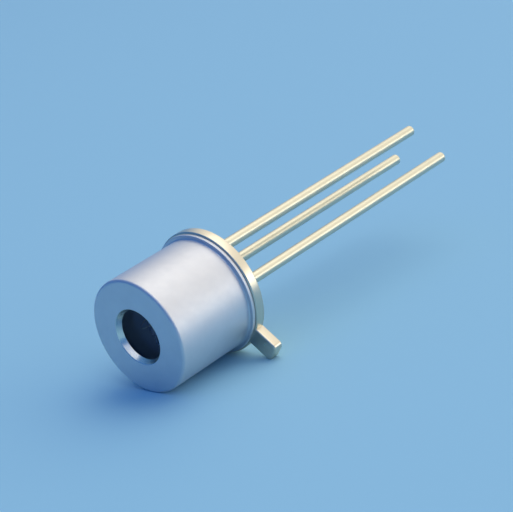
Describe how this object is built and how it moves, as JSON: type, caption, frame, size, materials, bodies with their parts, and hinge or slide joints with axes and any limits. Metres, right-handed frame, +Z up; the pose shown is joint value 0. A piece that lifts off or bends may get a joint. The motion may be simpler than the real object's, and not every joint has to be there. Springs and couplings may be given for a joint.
{
  "type": "avalanche photodiode",
  "caption": "Light detector chip sealed in a round metal can with a flat glass window, wire leads through glass beads and an index tab; it lies on its side.",
  "frame": {"origin": "centre of the seating plane, the flat underside of the header, on the optical axis", "axes": "+Z up as the part lies on its side; -Y the way the window looks; +X to the right seen from the window side, where the index tab is"},
  "size_m": [0.0055, 0.0176, 0.0051],
  "materials": {
    "gold_plate": "satin",
    "lead_gold": "satin",
    "seal_glass": "gloss",
    "adhesive": "matte",
    "alumina": "matte",
    "gold_film": "satin",
    "solder": "satin",
    "silicon": "gloss",
    "nickel": "satin",
    "window_glass": "gloss",
    "frit": "satin"
  },
  "bodies": {
    "root": {"header": "gold_plate", "cathode_bead": "seal_glass", "anode_bead": "seal_glass", "cathode_lead": "lead_gold", "anode_lead": "lead_gold", "case_lead": "lead_gold", "submount_adhesive": "adhesive", "submount": "alumina", "submount_pad": "gold_film", "chip_solder": "solder", "detector_chip": "silicon", "anode_wire": "gold_film", "cathode_wire": "gold_film", "cap": "nickel", "window": "window_glass", "window_frit": "frit"}
  },
  "joints": []
}
